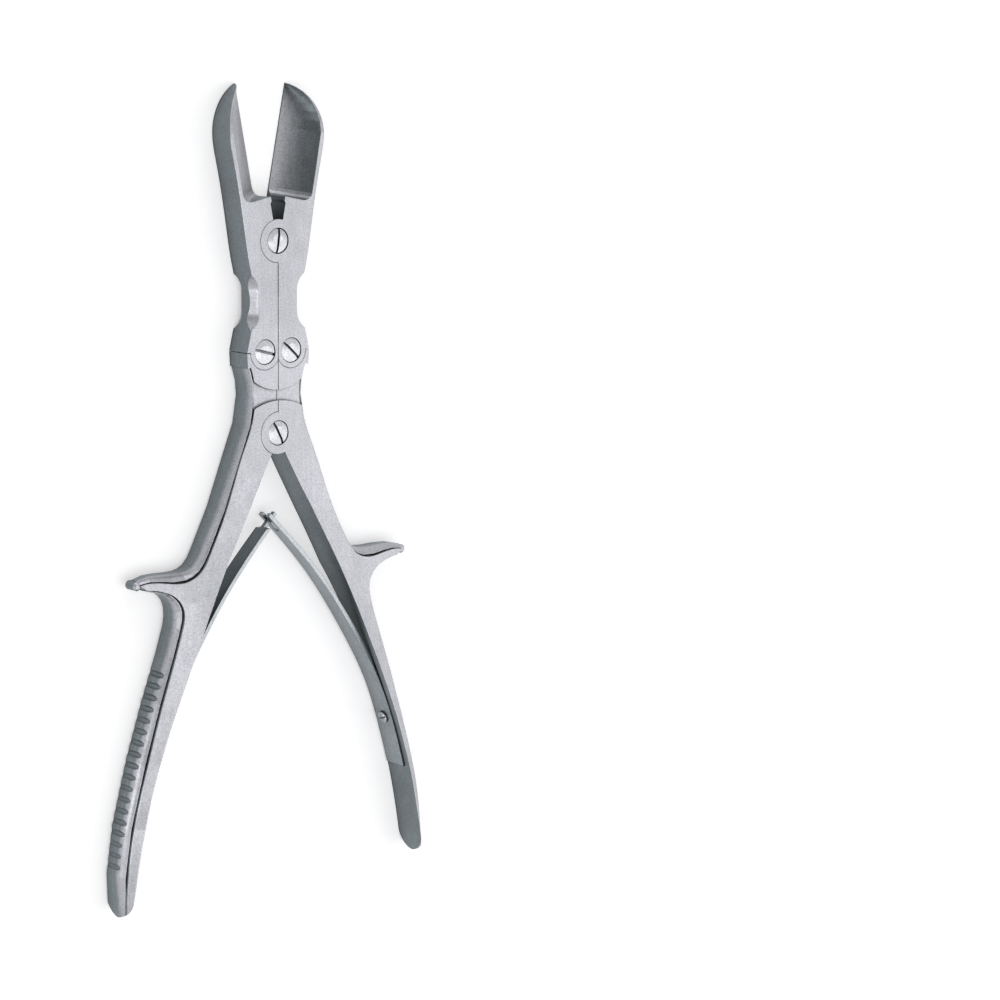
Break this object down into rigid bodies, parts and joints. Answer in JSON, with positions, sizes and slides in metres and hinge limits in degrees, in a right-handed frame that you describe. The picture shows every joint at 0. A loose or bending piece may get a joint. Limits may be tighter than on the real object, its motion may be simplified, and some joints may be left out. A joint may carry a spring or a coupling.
{
  "type": "bone rongeur",
  "caption": "Straight double-action bone-cutting forceps with chisel-edged jaws, linked handles, finger spurs and interlocking leaf springs, shown fully open.",
  "frame": {"origin": "on the axis of the handle pivot, in the plane of the flat back that the instrument rests on", "axes": "+Y from the handle pivot to the jaw tips, +X to the right handle seen from the front, +Z out of the front face"},
  "size_m": [0.1266, 0.267, 0.0124],
  "materials": {
    "satin_steel": "satin",
    "screw_steel": "fine satin",
    "spring_steel": "drawn"
  },
  "bodies": {
    "left_handle_body": {"left_handle": "satin_steel", "left_link_screw": "screw_steel", "handle_pivot_screw": "screw_steel", "left_spring_screw": "screw_steel"},
    "right_handle_body": {"right_handle": "satin_steel", "right_link_screw": "screw_steel", "right_spring_screw": "screw_steel"},
    "left_jaw_body": {"left_jaw": "satin_steel", "jaw_pivot_screw": "screw_steel"},
    "right_jaw_body": {"right_jaw": "satin_steel"},
    "left_leaf_body": {"left_leaf_spring": "spring_steel"},
    "right_leaf_body": {"right_leaf_spring": "spring_steel"}
  },
  "joints": [
    {"name": "handle_pivot", "type": "hinge", "parent": "left_handle_body", "child": "right_handle_body", "pos_m": [0, 0, 0.005], "axis": [0, 0, 1], "range_deg": [-30.5, 0], "stiffness_Nm_per_rad": 0.5, "springref_deg": 11.46},
    {"name": "left_link", "type": "hinge", "parent": "left_handle_body", "child": "left_jaw_body", "pos_m": [-0.0053, 0.027, 0.005], "axis": [0, 0, 1], "range_deg": [-26.6, 0.1]},
    {"name": "right_link", "type": "hinge", "parent": "right_handle_body", "child": "right_jaw_body", "pos_m": [0.0053, 0.027, 0.005], "axis": [0, 0, 1], "range_deg": [-0.1, 26.6]},
    {"name": "left_leaf_flex", "type": "hinge", "parent": "left_handle_body", "child": "left_leaf_body", "pos_m": [-0.0494, -0.1042, 0.005], "axis": [0, 0, 1], "range_deg": [-0.1, 5.4]},
    {"name": "right_leaf_flex", "type": "hinge", "parent": "right_handle_body", "child": "right_leaf_body", "pos_m": [0.0494, -0.1042, 0.005], "axis": [0, 0, 1], "range_deg": [-5.4, 0.1]}
  ],
  "couplings": [
    {"joint": "left_link", "follows": "handle_pivot", "ratio": 0.8685},
    {"joint": "right_link", "follows": "handle_pivot", "ratio": -0.8685},
    {"joint": "left_leaf_flex", "follows": "handle_pivot", "ratio": -0.172},
    {"joint": "right_leaf_flex", "follows": "handle_pivot", "ratio": 0.172}
  ]
}
